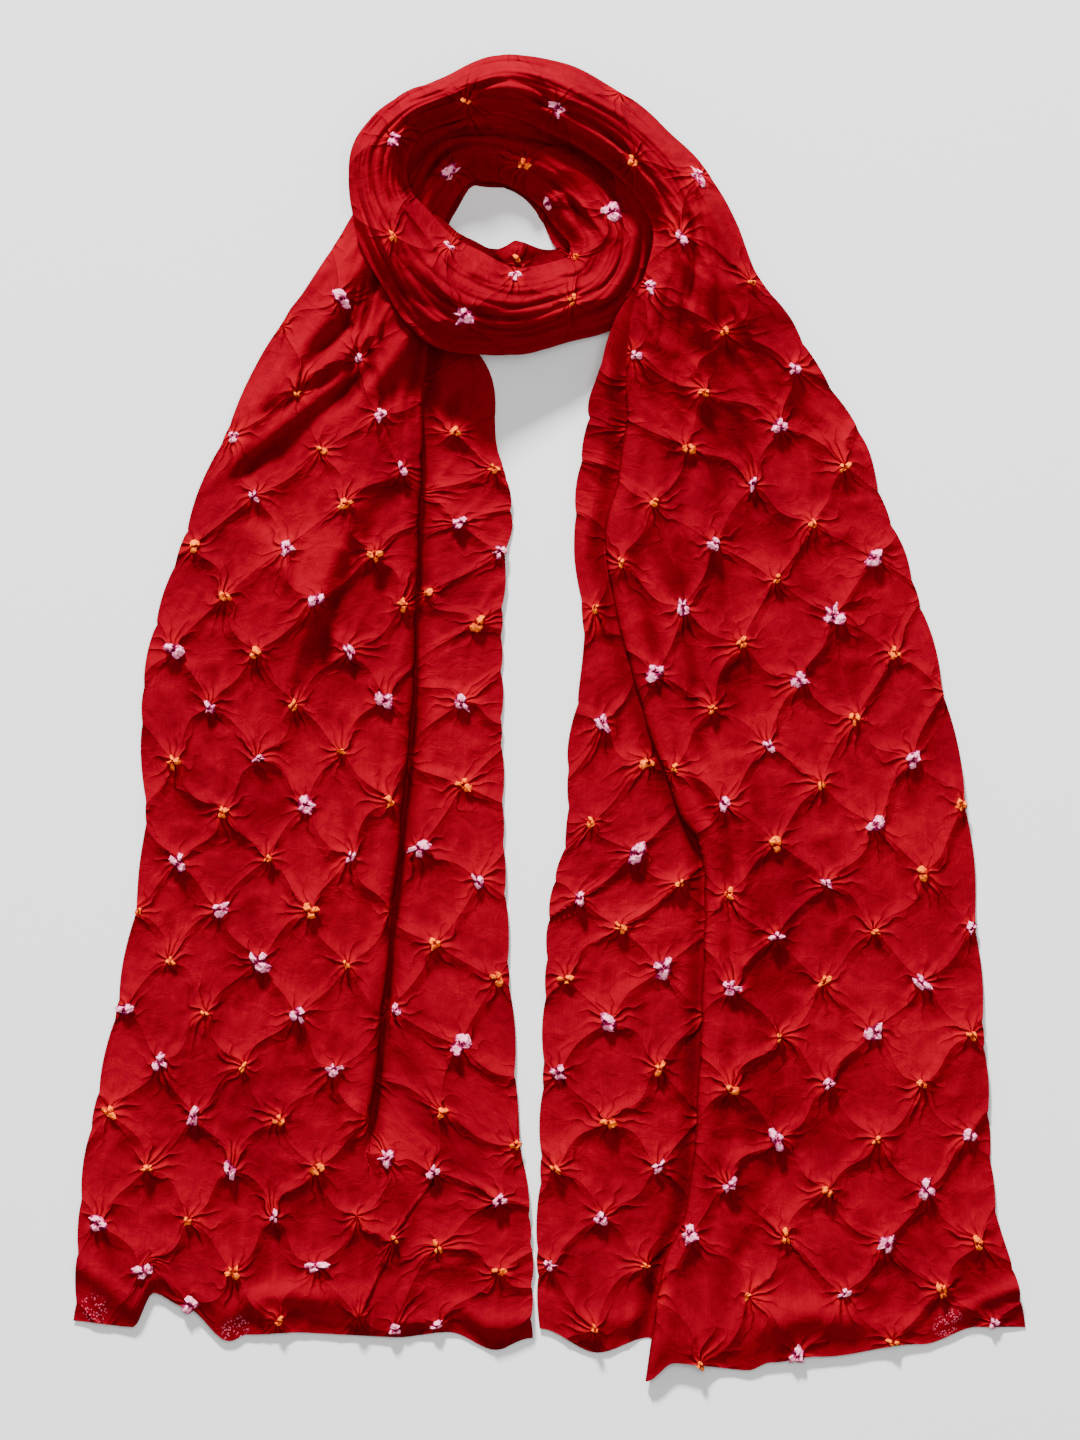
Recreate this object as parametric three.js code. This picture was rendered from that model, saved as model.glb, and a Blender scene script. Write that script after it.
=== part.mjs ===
// A bandhani scarf, laid flat with its neck loop still in it.
// It is one long sheet of tie-dyed cotton with one lengthwise pleat. It runs up the left end,
// one and a half turns round the loop, and down the right end.
// Millimetres, +Z up. The underside rests on z = 0 and the origin is the middle of the plan.
import * as THREE from "three";

// Driving dimensions
const THICKNESS = 1.2; // the cloth as a solid sheet
const LAYER_PITCH = 2.6; // from the middle of one pleat layer to the middle of the next
const BEND = 1.8; // how far a pleat's turn reaches past its layers
const TIE_STEP = 34; // from one row of tied points to the next, along the cloth
const TIE_HALF_GAP = 29.5; // half the space between two tied points in a row
const TIE_MARGIN = 12; // cloth's edge to the first tied point
const TIE_HEIGHT = 3.5; // a tied point above the cloth, in the two ends
const TIE_HEIGHT_LOOP = 2; // the same in the loop, where the cloth is bunched
const PILLOW = 3; // how far the cloth puffs up between tied points
const GATHER = 2; // height of the lengthwise gathers in the loop
const GATHERS = 3; // how many of them lie side by side
const HEM_REACH = 60; // how far the hem's unevenness runs up into the cloth
const RAMP = 20; // width of the slope where the top layer climbs onto the pleat
const FADE = 12; // the puffs die out over this width beside the pleat's fold
const RAMP_SHARE = 0.8; // that slope is at most this share of the single layer beside it
const TURN_ROOM = 2 * BEND; // a pleat's turn takes this much of its layer
const END_LOOK = 62; // how far ahead and behind the way the cloth runs is taken, in the ends
const LOOP_LOOK = 12; // the same in the loop
const PLAN_CENTRE = [-1.1, 2.5]; // middle of the plan, in the tables' own x and y

// Sections across the cloth, in the order that the cloth runs. x, y: the middle of the top
// layer. outer: from there to the cloth's left edge, as it runs. fold: to the pleat's fold on
// the right. under: to the right edge of the under layer. lap: width of the hidden layer.
// lift: underside above the floor. crown: how far the top layer arches up.
const COLUMNS = ["x", "y", "outer", "fold", "under", "lap", "lift", "crown"];
const LEFT_END = [
  [-219, -392, 91, 90, 206, 12, 0, 2],
  [-213, -297, 91, 91, 200, 14, 0, 2],
  [-196, -194, 87, 86, 175, 40, 0, 2],
  [-182, -83, 83, 83, 153, 55, 0, 3],
  [-176, 21, 87, 87, 145, 57, 0, 3],
  [-163, 119, 70, 78, 135, 56, 0, 4],
  [-146, 190, 59, 67, 128, 50, 0, 5],
  [-118, 246, 59, 40, 88, 46, 0, 7],
];
const LOOP = [
  [-108, 275, 49, 31, 52, 43, 0, 8],
  [-97, 300, 42, 25, 35, 39, 0, 8],
  [-88, 324, 38, 21, 26, 34, 0, 8],
  [-69, 365, 36, 22, 26, 36, 0, 9],
  [-43, 377, 27, 26, 29, 40, 0, 9],
  [-14, 374, 25, 29, 31, 44, 0, 9],
  [14, 358, 29, 31, 34, 49, 0, 9],
  [32, 337, 31, 30, 32, 53, 0, 9],
  [44, 312, 29, 25, 27, 48, 0, 9],
  [35, 287, 29, 25, 29, 46, 1, 10],
  [9, 274, 30, 26, 34, 46, 6, 13],
  [-23, 267, 27, 28, 46, 46, 15, 15],
  [-56, 273, 31, 33, 36, 49, 22, 15],
  [-82, 289, 27, 32, 29, 51, 22, 15],
  [-99, 314, 25, 27, 23, 43, 22, 15],
  [-110, 343, 20, 19, 16, 32, 22, 14],
  [-110, 372, 18, 20, 16, 31, 22, 14],
  [-97, 397, 12, 20, 15, 29, 22, 14],
  [-68, 405, 13, 18, 13, 27, 22, 15],
  [-33, 413, 16, 21, 16, 31, 22, 15],
  [3, 408, 18, 27, 18, 36, 22, 15],
  [40, 389, 21, 27, 18, 39, 22, 15],
  [72, 361, 18, 27, 20, 36, 22, 15],
  [90, 330, 22, 27, 22, 36, 22, 14],
  [99, 300, 27, 38, 34, 40, 22, 12],
];
const RIGHT_END = [
  [102, 268, 41, 50, 60, 39, 20, 9],
  [107, 239, 52, 61, 82, 39, 12, 7],
  [118, 207, 62, 71, 97, 46, 5, 6],
  [125, 171, 75, 84, 111, 58, 0, 5],
  [127, 132, 87, 94, 113, 65, 0, 4],
  [142, 80, 93, 99, 126, 62, 0, 3],
  [159, 21, 96, 99, 154, 55, 0, 3],
  [175, -37, 93, 94, 170, 49, 0, 3],
  [185, -83, 88, 87, 186, 46, 0, 3],
  [189, -193, 92, 92, 194, 39, 0, 2],
  [189, -310, 100, 100, 197, 39, 0, 2],
  [187, -356, 115, 115, 197, 32, 0, 2],
  [185, -404, 122, 122, 192, 29, 0, 2],
];
const SECTIONS = [...LEFT_END, ...LOOP, ...RIGHT_END];

// How far each hem hangs past its last section. share: across the cloth's flat width, from
// its left edge as it runs. drop: outwards.
const LEFT_HEM = [
  [0, -3], [0.14, -1], [0.17, -20], [0.24, -16], [0.36, 8], [0.5, 5],
  [0.7, 4], [0.82, -2], [0.92, 10], [1, -2],
];
const RIGHT_HEM = [
  [0, -14], [0.08, -8], [0.18, 0], [0.36, 8], [0.48, 16], [0.62, 14], [0.7, 26],
  [0.8, -4], [0.9, 7], [1, -6],
];

// How many strips each layer has, side by side
const TOP_STRIPS = 12;
const LAP_STRIPS = 2;
const HIDDEN_STRIPS = 2;
const SHOWN_STRIPS = 6;

const clamp01 = (t) => Math.min(1, Math.max(0, t));
const smooth = (t) => clamp01(t) ** 2 * (3 - 2 * clamp01(t));

// One number on a smooth curve through four neighbours, t from 0 to 1 between the middle two.
function curve(before, from, to, after, t) {
  const out = (to - before) / 2;
  const into = (after - from) / 2;
  const t2 = t * t;
  const t3 = t2 * t;
  return from * (2 * t3 - 3 * t2 + 1) + out * (t3 - 2 * t2 + t)
    + to * (3 * t2 - 2 * t3) + into * (t3 - t2);
}

// The section at row number k of the table, between rows too.
function sectionAt(k) {
  const last = SECTIONS.length - 1;
  const i = Math.min(last - 1, Math.floor(k));
  const rows = [Math.max(0, i - 1), i, i + 1, Math.min(last, i + 2)].map((r) => SECTIONS[r]);
  const values = COLUMNS.map((_, c) => curve(...rows.map((row) => row[c]), k - i));
  const section = Object.fromEntries(COLUMNS.map((name, c) => [name, values[c]]));
  section.lift = Math.max(0, section.lift);
  return section;
}

// Distance along the cloth against row number.
const SAMPLES_PER_ROW = 16;
const ruler = [{ k: 0, s: 0 }];
for (let n = 1; n <= (SECTIONS.length - 1) * SAMPLES_PER_ROW; n += 1) {
  const here = sectionAt(n / SAMPLES_PER_ROW);
  const back = sectionAt((n - 1) / SAMPLES_PER_ROW);
  const s = ruler[n - 1].s + Math.hypot(here.x - back.x, here.y - back.y);
  ruler.push({ k: n / SAMPLES_PER_ROW, s });
}
const LENGTH = ruler.at(-1).s;

function rowNumberAt(s) {
  const n = Math.max(1, ruler.findIndex((mark) => mark.s >= Math.min(s, LENGTH)));
  const [a, b] = [ruler[n - 1], ruler[n]];
  return a.k + ((b.k - a.k) * (s - a.s)) / (b.s - a.s);
}
const alongAt = (row) => ruler[row * SAMPLES_PER_ROW].s;

const LOOP_START = alongAt(LEFT_END.length - 1);
const LOOP_END = alongAt(LEFT_END.length + LOOP.length);

// 0 in the two ends and 1 in the loop, where the cloth is bunched. It changes over the reach.
function bunching(s, reach = TIE_STEP) {
  return smooth((s - LOOP_START + reach) / reach) * smooth((LOOP_END + reach - s) / reach);
}

// Tied points stand on a diamond lattice. Creases join them, and the cloth puffs up between.
function puff(s, across) {
  const a = Math.sin((Math.PI / 2) * (s / TIE_STEP + across / TIE_HALF_GAP));
  const b = Math.sin((Math.PI / 2) * (s / TIE_STEP - across / TIE_HALF_GAP));
  return PILLOW * Math.abs(a * b);
}

// Drop of a hem at a share of the width.
function hemDrop(table, share) {
  const i = Math.max(1, table.findIndex(([at]) => at >= share));
  const [[s0, d0], [s1, d1]] = [table[i - 1], table[i]];
  return d0 + (d1 - d0) * smooth((share - s0) / (s1 - s0));
}

// The middle line of one section: points { u, z, across, tie }, from the left edge over the
// top layer, round the pleat and out to the right edge.
function middleLine(s, step) {
  const { outer, fold, under, lap, crown } = sectionAt(rowNumberAt(s));
  const bunched = bunching(s);
  const shown = under > fold + FADE;
  const topWidth = outer + fold - BEND;
  const climb = Math.min(RAMP, (outer + fold - lap) * RAMP_SHARE);
  const arch = (u) => crown * (1 - ((2 * u - fold + outer) / (outer + fold)) ** 2);
  const onPleat = (u) => 2 * LAYER_PITCH * smooth((u - fold + lap + climb) / climb);
  const topHeight = (u) => onPleat(u) + arch(u);
  const tieHeight = TIE_HEIGHT + (TIE_HEIGHT_LOOP - TIE_HEIGHT) * bunched;

  const top = [];
  for (let i = 0; i <= TOP_STRIPS; i += 1) {
    top.push({ u: -outer + (topWidth * i) / TOP_STRIPS, tie: 0 });
  }
  const underEdge = Math.max(under, fold - lap + 2 * TURN_ROOM);
  const shownStart = Math.min(fold, underEdge - TURN_ROOM);
  const below = [];
  for (let i = 0; i <= HIDDEN_STRIPS; i += 1) {
    const start = fold - lap + BEND;
    below.push({ u: start + ((shownStart - start) * i) / HIDDEN_STRIPS, tie: 0 });
  }
  for (let i = 1; i <= SHOWN_STRIPS; i += 1) {
    below.push({ u: shownStart + ((underEdge - shownStart) * i) / SHOWN_STRIPS, tie: 0 });
  }
  const flatTop = (u) => u + outer;
  const flatUnder = (u) => outer + fold + lap + (u - fold + lap);

  // The grid point nearest to a tied point slides to it and is raised.
  const tiePoints = (line, flat, from, to) => {
    const odd = step % 2 ? TIE_HALF_GAP : 0;
    for (let v = odd; v < flat(to); v += 2 * TIE_HALF_GAP) {
      if (v < flat(from)) continue;
      const inner = line.slice(1, -1);
      const gap = (p) => Math.abs(flat(p.u) - v);
      const nearest = inner.reduce((best, p) => (gap(p) < gap(best) ? p : best));
      nearest.u += v - flat(nearest.u);
      nearest.tie = tieHeight;
    }
  };
  if (Number.isInteger(step)) {
    tiePoints(top, flatTop, -outer + TIE_MARGIN, fold - TIE_MARGIN);
    if (shown) tiePoints(below, flatUnder, fold + TIE_MARGIN, underEdge - TIE_MARGIN);
  }

  for (const p of top) {
    const gathers = GATHER * (0.5 - 0.5 * Math.cos((2 * Math.PI * GATHERS * flatTop(p.u)) / topWidth));
    const relief = (1 - bunched) * puff(s, flatTop(p.u)) + bunched * gathers;
    p.across = flatTop(p.u);
    p.z = topHeight(p.u) + relief * smooth((fold - p.u - BEND) / FADE);
  }
  const halfHeight = (u) => topHeight(u) / 2;
  const hidden = [];
  for (let i = 0; i <= LAP_STRIPS; i += 1) {
    const u = fold - BEND - ((lap - TURN_ROOM) * i) / LAP_STRIPS;
    hidden.push({ u, z: halfHeight(u), across: outer + fold + (fold - u), tie: 0 });
  }
  for (const p of below) {
    const relief = (1 - bunched) * puff(s, flatUnder(p.u));
    p.across = flatUnder(p.u);
    p.z = shown ? relief * smooth((p.u - fold) / FADE) : 0;
  }
  const foldTurn = {
    u: fold, z: (top.at(-1).z + hidden[0].z) / 2, across: outer + fold, tie: 0,
  };
  const backTurn = {
    u: fold - lap, z: hidden.at(-1).z / 2, across: outer + fold + lap, tie: 0,
  };
  return [...top, foldTurn, ...hidden, backTurn, ...below];
}

// Both faces of a section: its middle line moved half a thickness each way, with the corners
// mitred. The tied points are raised on the upper face.
function facePoints(line) {
  const half = THICKNESS / 2;
  return line.map((p, i) => {
    const before = line[Math.max(0, i - 1)];
    const after = line[Math.min(line.length - 1, i + 1)];
    const left = (a, b) => new THREE.Vector2(a.z - b.z, b.u - a.u).normalize();
    const n1 = i === 0 ? left(p, after) : left(before, p);
    const n2 = i === line.length - 1 ? left(before, p) : left(p, after);
    const mitre = n1.clone().add(n2).divideScalar(1 + n1.dot(n2));
    return {
      across: p.across,
      upper: [p.u + half * mitre.x, half + p.z + half * mitre.y + p.tie],
      lower: [p.u - half * mitre.x, Math.max(0, half + p.z - half * mitre.y)],
    };
  });
}

// Places a point of a section in space: u to the right of the way that the cloth runs.
function place(s, u, z, drop) {
  const here = sectionAt(rowNumberAt(s));
  const look = LOOP_LOOK + (END_LOOK - LOOP_LOOK) * (1 - bunching(s, END_LOOK));
  const ahead = sectionAt(rowNumberAt(Math.min(LENGTH, s + look)));
  const back = sectionAt(rowNumberAt(Math.max(0, s - look)));
  const run = new THREE.Vector2(ahead.x - back.x, ahead.y - back.y).normalize();
  const x = here.x + run.y * u + run.x * drop - PLAN_CENTRE[0];
  const y = here.y - run.x * u + run.y * drop - PLAN_CENTRE[1];
  return [x, y, here.lift + z];
}

// Steps along the cloth: a row of tied points each, and halfway between them in the loop.
function stepsAlong() {
  const count = Math.round(LENGTH / TIE_STEP);
  const steps = [];
  for (let n = 0; n <= count; n += 1) {
    steps.push(n);
    const s = ((n + 0.5) * LENGTH) / count;
    if (s > LOOP_START - TIE_STEP && s < LOOP_END + TIE_STEP) steps.push(n + 0.5);
  }
  return steps.map((step) => ({ step, s: (step * LENGTH) / count }));
}

function buildCloth() {
  const positions = [];
  const rows = stepsAlong();
  for (const { step, s } of rows) {
    const faces = facePoints(middleLine(s, step));
    const width = faces.at(-1).across;
    for (const side of ["upper", "lower"]) {
      for (const point of faces) {
        const share = point.across / width;
        const drop = hemDrop(RIGHT_HEM, share) * smooth(1 - (LENGTH - s) / HEM_REACH)
          - hemDrop(LEFT_HEM, share) * smooth(1 - s / HEM_REACH);
        positions.push(...place(s, ...point[side], drop));
      }
    }
  }
  const wide = positions.length / 3 / rows.length / 2;
  const index = [];
  const upper = (r, c) => r * 2 * wide + c;
  const lower = (r, c) => upper(r, c) + wide;
  const quad = (a, b, c, d) => index.push(a, b, c, a, c, d);
  for (let r = 0; r < rows.length - 1; r += 1) {
    for (let c = 0; c < wide - 1; c += 1) {
      quad(upper(r, c), upper(r, c + 1), upper(r + 1, c + 1), upper(r + 1, c));
      quad(lower(r, c), lower(r + 1, c), lower(r + 1, c + 1), lower(r, c + 1));
    }
    quad(upper(r, 0), upper(r + 1, 0), lower(r + 1, 0), lower(r, 0));
    quad(upper(r, wide - 1), lower(r, wide - 1), lower(r + 1, wide - 1), upper(r + 1, wide - 1));
  }
  const end = rows.length - 1;
  for (let c = 0; c < wide - 1; c += 1) {
    quad(upper(0, c), lower(0, c), lower(0, c + 1), upper(0, c + 1));
    quad(upper(end, c), upper(end, c + 1), lower(end, c + 1), lower(end, c));
  }
  const geometry = new THREE.BufferGeometry();
  geometry.setAttribute("position", new THREE.Float32BufferAttribute(positions, 3));
  geometry.setIndex(index);
  geometry.computeVertexNormals();
  return geometry;
}

const dyedCotton = new THREE.MeshStandardMaterial({
  color: 0xa80512, roughness: 0.85, metalness: 0, side: THREE.DoubleSide,
});

const scarf = new THREE.Group();
const cloth = new THREE.Mesh(buildCloth(), dyedCotton);
cloth.name = "bandhani_cloth";
scarf.add(cloth);

export default scarf;
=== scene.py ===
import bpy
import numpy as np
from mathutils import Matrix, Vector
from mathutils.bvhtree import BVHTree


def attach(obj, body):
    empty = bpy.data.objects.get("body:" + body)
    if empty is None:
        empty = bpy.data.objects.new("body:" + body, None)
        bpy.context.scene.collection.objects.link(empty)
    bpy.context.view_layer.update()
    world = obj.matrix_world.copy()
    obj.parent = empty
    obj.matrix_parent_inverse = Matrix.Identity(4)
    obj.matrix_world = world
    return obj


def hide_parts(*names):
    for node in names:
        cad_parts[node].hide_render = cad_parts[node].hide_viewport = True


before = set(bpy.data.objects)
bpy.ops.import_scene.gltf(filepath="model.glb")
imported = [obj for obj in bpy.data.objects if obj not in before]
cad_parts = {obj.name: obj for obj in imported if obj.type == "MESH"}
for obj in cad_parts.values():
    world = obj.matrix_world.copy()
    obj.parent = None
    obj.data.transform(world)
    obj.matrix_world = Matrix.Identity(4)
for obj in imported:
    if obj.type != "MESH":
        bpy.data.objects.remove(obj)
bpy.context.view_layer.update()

# %% [markdown]
# # A bandhani scarf, laid flat with its neck loop
#
# The real object is one long sheet of cotton voile. Hundreds of pinches of it were tied with
# thread before dyeing. Each pinch stays as a small pale peak, and the cloth between the peaks
# stays puckered. The sheet carries one lengthwise pleat, runs up its left end, one and a half
# turns round the loop and down its right end. It could be draped by simulation, but the folds
# that show are few and well placed, so the sheet is worked out as one surface of two
# parameters: the distance along the cloth and the distance across it.

MM = 0.001
chance = np.random.default_rng(7)

# %% [markdown]
# ## The sections
#
# A section across the cloth is a flat Z: a top layer, a hidden layer folded back under it, and
# an under layer that reaches out past the fold. Each row below is one such section, in the
# order that the cloth runs. The columns are the middle of the top layer (x, y), the distances
# from there to the left edge, to the fold and to the under layer's right edge, the width of
# the hidden layer, the height of the underside above the floor, and the arch of the top layer.
# Where the hidden layer's width falls below zero, the pleat has opened out.

# %% The section table, in millimetres
LEFT_END = [
    [-219, -392, 91, 90, 207, -9, 0, 2],
    [-213, -297, 91, 91, 201, -9, 0, 2],
    [-196, -194, 87, 86, 175, 36, 0, 2],
    [-182, -83, 83, 83, 153, 55, 0, 3],
    [-176, 21, 89, 87, 145, 57, 0, 3],
    [-163, 119, 73, 78, 135, 56, 0, 4],
    [-146, 190, 59, 67, 128, 50, 0, 5],
    [-118, 246, 56, 40, 88, 46, 0, 7],
]
LOOP = [
    [-108, 275, 49, 31, 52, 43, 0, 8],
    [-97, 300, 42, 25, 35, 39, 0, 8],
    [-88, 324, 38, 16, 18, 30, 0, 8],
    [-69, 365, 36, 22, 26, 36, 0, 9],
    [-43, 377, 27, 26, 29, 40, 0, 9],
    [-14, 374, 25, 29, 31, 44, 0, 9],
    [13, 358, 30, 31, 35, 49, 0, 9],
    [28, 337, 35, 30, 35, 53, 0, 9],
    [37, 312, 36, 25, 34, 48, 0, 9],
    [30, 287, 30, 25, 34, 46, 1, 10],
    [9, 274, 27, 26, 34, 46, 6, 13],
    [-23, 267, 31, 28, 46, 46, 15, 15],
    [-56, 273, 33, 33, 36, 49, 22, 15],
    [-82, 289, 27, 32, 34, 51, 22, 15],
    [-99, 314, 25, 27, 29, 43, 22, 15],
    [-110, 343, 20, 19, 16, 32, 22, 14],
    [-110, 372, 15, 20, 16, 31, 22, 14],
    [-97, 397, 5, 22, 15, 29, 22, 14],
    [-68, 405, 13, 18, 13, 27, 22, 15],
    [-33, 413, 16, 21, 16, 31, 22, 15],
    [3, 408, 18, 27, 18, 36, 22, 15],
    [40, 389, 21, 27, 18, 39, 22, 15],
    [72, 361, 18, 27, 20, 36, 22, 15],
    [90, 330, 22, 27, 22, 36, 22, 14],
    [99, 300, 29, 38, 34, 40, 22, 12],
]
RIGHT_END = [
    [102, 268, 46, 50, 60, 39, 20, 9],
    [107, 239, 55, 61, 82, 39, 12, 7],
    [118, 207, 64, 71, 97, 46, 5, 6],
    [125, 171, 79, 84, 111, 58, 0, 5],
    [127, 132, 89, 94, 113, 65, 0, 4],
    [142, 80, 93, 99, 126, 62, 0, 3],
    [159, 21, 94, 99, 154, 55, 0, 3],
    [175, -37, 91, 94, 170, 49, 0, 3],
    [185, -83, 88, 87, 186, 46, 0, 3],
    [189, -193, 92, 92, 194, 39, 0, 2],
    [189, -310, 100, 100, 197, 39, 0, 2],
    [187, -356, 115, 115, 197, 32, 0, 2],
    [185, -404, 122, 122, 192, 29, 0, 2],
]
SECTIONS = np.array(LEFT_END + LOOP + RIGHT_END, float)
X, Y, OUTER, FOLD, UNDER, LAP, LIFT, CROWN = range(8)
PLAN_CENTRE = np.array([-1.1, 2.5])  # middle of the plan, in the table's x and y
LAYER_PITCH = 2.6                    # one pleat layer's middle to the next
HALF_THICKNESS = 0.6                 # the sheet's middle rides this far above what it lies on
FULL_LAP = 16                        # the pleat counts as folded from this width of hidden layer


# %% Smooth curves through the table
def smooth(t):
    """0 below 0, 1 above 1, and 3t^2 - 2t^3 between."""
    t = np.clip(t, 0, 1)
    return t * t * (3 - 2 * t)


def section_at(k):
    """All columns at row numbers k, between rows too: a Hermite cubic whose slope at a row is
    half the difference of its neighbours."""
    last = len(SECTIONS) - 1
    i = np.clip(np.floor(k).astype(int), 0, last - 1)
    t = (k - i)[..., None]
    before, here = SECTIONS[np.maximum(i - 1, 0)], SECTIONS[i]
    ahead, after = SECTIONS[i + 1], SECTIONS[np.minimum(i + 2, last)]
    out, into = (ahead - before) / 2, (after - here) / 2
    row = (here * (2 * t**3 - 3 * t**2 + 1) + out * (t**3 - 2 * t**2 + t)
           + ahead * (3 * t**2 - 2 * t**3) + into * (t**3 - t**2))
    row[..., LIFT] = np.maximum(row[..., LIFT], 0)
    return row


SAMPLES_PER_ROW = 40
row_numbers = np.arange((len(SECTIONS) - 1) * SAMPLES_PER_ROW + 1) / SAMPLES_PER_ROW
centres = section_at(row_numbers)[:, [X, Y]]
ruler = np.concatenate([[0], np.cumsum(np.hypot(*np.diff(centres, axis=0).T))])
LENGTH = ruler[-1]
LOOP_START = ruler[(len(LEFT_END) - 1) * SAMPLES_PER_ROW]
LOOP_END = ruler[(len(LEFT_END) + len(LOOP)) * SAMPLES_PER_ROW]


def section_along(s):
    """All columns at distance s along the cloth."""
    return section_at(np.interp(s, ruler, row_numbers))


def folded_share(row):
    """0 where the pleat has opened out and 1 where it is folded, for these columns."""
    return smooth(row[..., LAP] / FULL_LAP)


def bunching(s, reach):
    """0 in the two ends and 1 in the loop, changing over this reach outside it."""
    return smooth((s - LOOP_START + reach) / reach) * smooth((LOOP_END + reach - s) / reach)


print(f"the cloth runs {LENGTH:.0f} mm; its loop is from {LOOP_START:.0f} to {LOOP_END:.0f} mm")

# %% [markdown]
# ## The lattice of tied points
#
# The points stand on a diamond lattice. `lattice` gives two numbers, both whole at a tied
# point, so one function serves the puckers, the peaks and the dye. The top layer and the
# under layer of each end were tied at slightly different spacings, and the pattern passes
# smoothly from one to the next. The tying was done by hand, so a slow wave moves the points
# a few millimetres.

# %% The lattice
# i and j at the cloth's left corner, and their change for each mm along and across
LATTICE = np.array([
    [-7.22, 0.01612, 0.01602, -3.56, 0.01351, -0.01939],    # left end, top layer
    [-5.77, 0.01796, 0.00698, -4.57, 0.01586, -0.01902],    # left end, under layer
    [-4.82, 0.01414, 0.01576, -6.35, 0.01608, -0.01607],    # right end, top layer
    [-3.78, 0.01391, 0.01454, -6.70, 0.01639, -0.01626],    # right end, under layer
])
WANDER = 1.5              # how far the tying by hand moved the points, in mm
OPEN_MIX = 60             # where the pleat is open, the two patterns pass over this width
LEAST_MIX = 10            # and nowhere over less than this


def lattice(s, across):
    """(i, j), whole numbers at the tied points: straight-line functions of the distance along
    and across, mixed from the four in the table. s has one column."""
    row = section_along(s[:, 0])[:, None, :]
    right = smooth((s - LOOP_START) / (LOOP_END - LOOP_START))
    passing = np.maximum(row[..., LAP] + OPEN_MIX * (1 - folded_share(row)), LEAST_MIX)
    below = smooth((across - row[..., OUTER] - row[..., FOLD]) / passing)
    weights = np.stack([(1 - right) * (1 - below), (1 - right) * below,
                        right * (1 - below), right * below], axis=-1)
    table = weights @ LATTICE
    along = s + WANDER * np.sin(s / 41 + 1.3) * np.cos(across / 33 + 0.5)
    side = across + WANDER * np.sin(s / 37 + across / 29)
    return (table[..., 0] + table[..., 1] * along + table[..., 2] * side,
            table[..., 3] + table[..., 4] * along + table[..., 5] * side)


# %% [markdown]
# ## The relief
#
# Each tied point stands up as a small peak. The cloth between two neighbours is drawn tight,
# so a sharp crest joins them, and shorter crests run out from each point like spokes. The
# cells between the crests stay nearly flat. In the loop the cloth is bunched instead: valleys
# run lengthwise, wander a little, and fade out over a hand's width into the two ends.

# %% Numbers for the relief
# Heights are in mm. Widths and reaches round the tied points are in lattice cells, the
# others in mm.
CREST_HEIGHT, CREST_WIDTH, CREST_SHARPNESS = 4.4, 0.085, 0.85
CREST_LEAN = 0.3          # each end has one set of stronger lines
PEAK_RISE, PEAK_REACH = 0.6, 0.11
CELL_TILT = 1.5
BEND_OF_CREASES = 0.2
SPOKES, SPOKE_HEIGHT = 8, 2.2
SPOKE_START, SPOKE_REACH = 0.1, 0.27
TIES_REACH = 70           # the ties' relief grows lower over this reach before the loop
GATHER_REACH = 190        # and the loop's gathers over this one
GATHER_LIFT = 7           # ridges between the valleys stand this far up
NARROW_STRIP = 30         # on a narrower strip of the under layer the relief is lower
# Valleys across the top layer, depth, turn over the whole length, and phase
VALLEYS = [
    (2.0, 7.0, 2.3, 0.4),
    (3.0, 4.6, -3.1, 2.1),
    (5.0, 3.0, 3.7, 4.4),
    (8.0, 2.0, -5.0, 1.2),
]
# Long folds: distance along from and to, share of the width from and to, height, and the
# widths of the left and the right flank, in mm
LOOSE_FOLDS = [
    (330, 640, 0.42, 0.84, 13.0, 40, 10),
    (550, 710, -0.15, 1.00, 11.0, 14, 7),
    (500, 690, -0.15, 0.85, 9.0, 12, 6),
    (540, 730, 0.08, 0.32, 9.0, 8, 8),
    (620, 730, 0.42, 0.44, -9.0, 7, 7),
    (570, 700, 0.38, 1.00, 8.0, 6, 10),
    (420, 560, 0.95, 0.05, 4.0, 16, 8),
    (60, 330, 0.62, 0.50, 3.5, 9, 30),
    (1490, 1830, 0.62, 0.84, 6.5, 12, 6),
    (1480, 2000, 0.86, 0.90, 6.0, 9, 5),
    (1640, 2040, 0.74, 0.97, 6.0, 9, 5),
    (1490, 1700, 0.45, 0.30, 6.0, 14, 8),
    (1800, 2150, 0.80, 0.90, 5.0, 8, 5),
    (1490, 1720, 0.15, 0.10, 5.0, 14, 8),
]
# Smooth chance: height, size and seed
SLOW_RUMPLE, RUMPLE, GRAIN, LOOP_WAVE = (2.4, 58, 1), (1.1, 23, 2), (0.4, 9, 3), (3, 19, 4)
RUMPLE_LIFT = 3
LOOP_WAVE_STRETCH = 2.5
# Lengthwise creases: height, size, seed, stretch along the cloth, and shift of the pattern
END_CREASES, LOOP_CREASES = (1.8, 11, 6, 1.9, 20), (5, 15, 4, 2.6, 40)


# %% Crests and spokes
def cloud(x, y, size, seed):
    """Smooth chance between -1 and 1: random values on a square grid of this size, with a
    smooth step between neighbours."""
    grid = np.random.default_rng(seed).uniform(-1, 1, (64, 64))
    x, y = x / size, y / size
    i, j = np.floor(x).astype(int), np.floor(y).astype(int)
    a, b = smooth(x - i), smooth(y - j)
    i0, i1, j0, j1 = i % 64, (i + 1) % 64, j % 64, (j + 1) % 64
    return ((grid[i0, j0] * (1 - a) + grid[i1, j0] * a) * (1 - b)
            + (grid[i0, j1] * (1 - a) + grid[i1, j1] * a) * b)


def away_from_tie(i, j):
    """Distance to the nearest tied point, in lattice cells."""
    return np.hypot(i - np.round(i), j - np.round(j))


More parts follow.
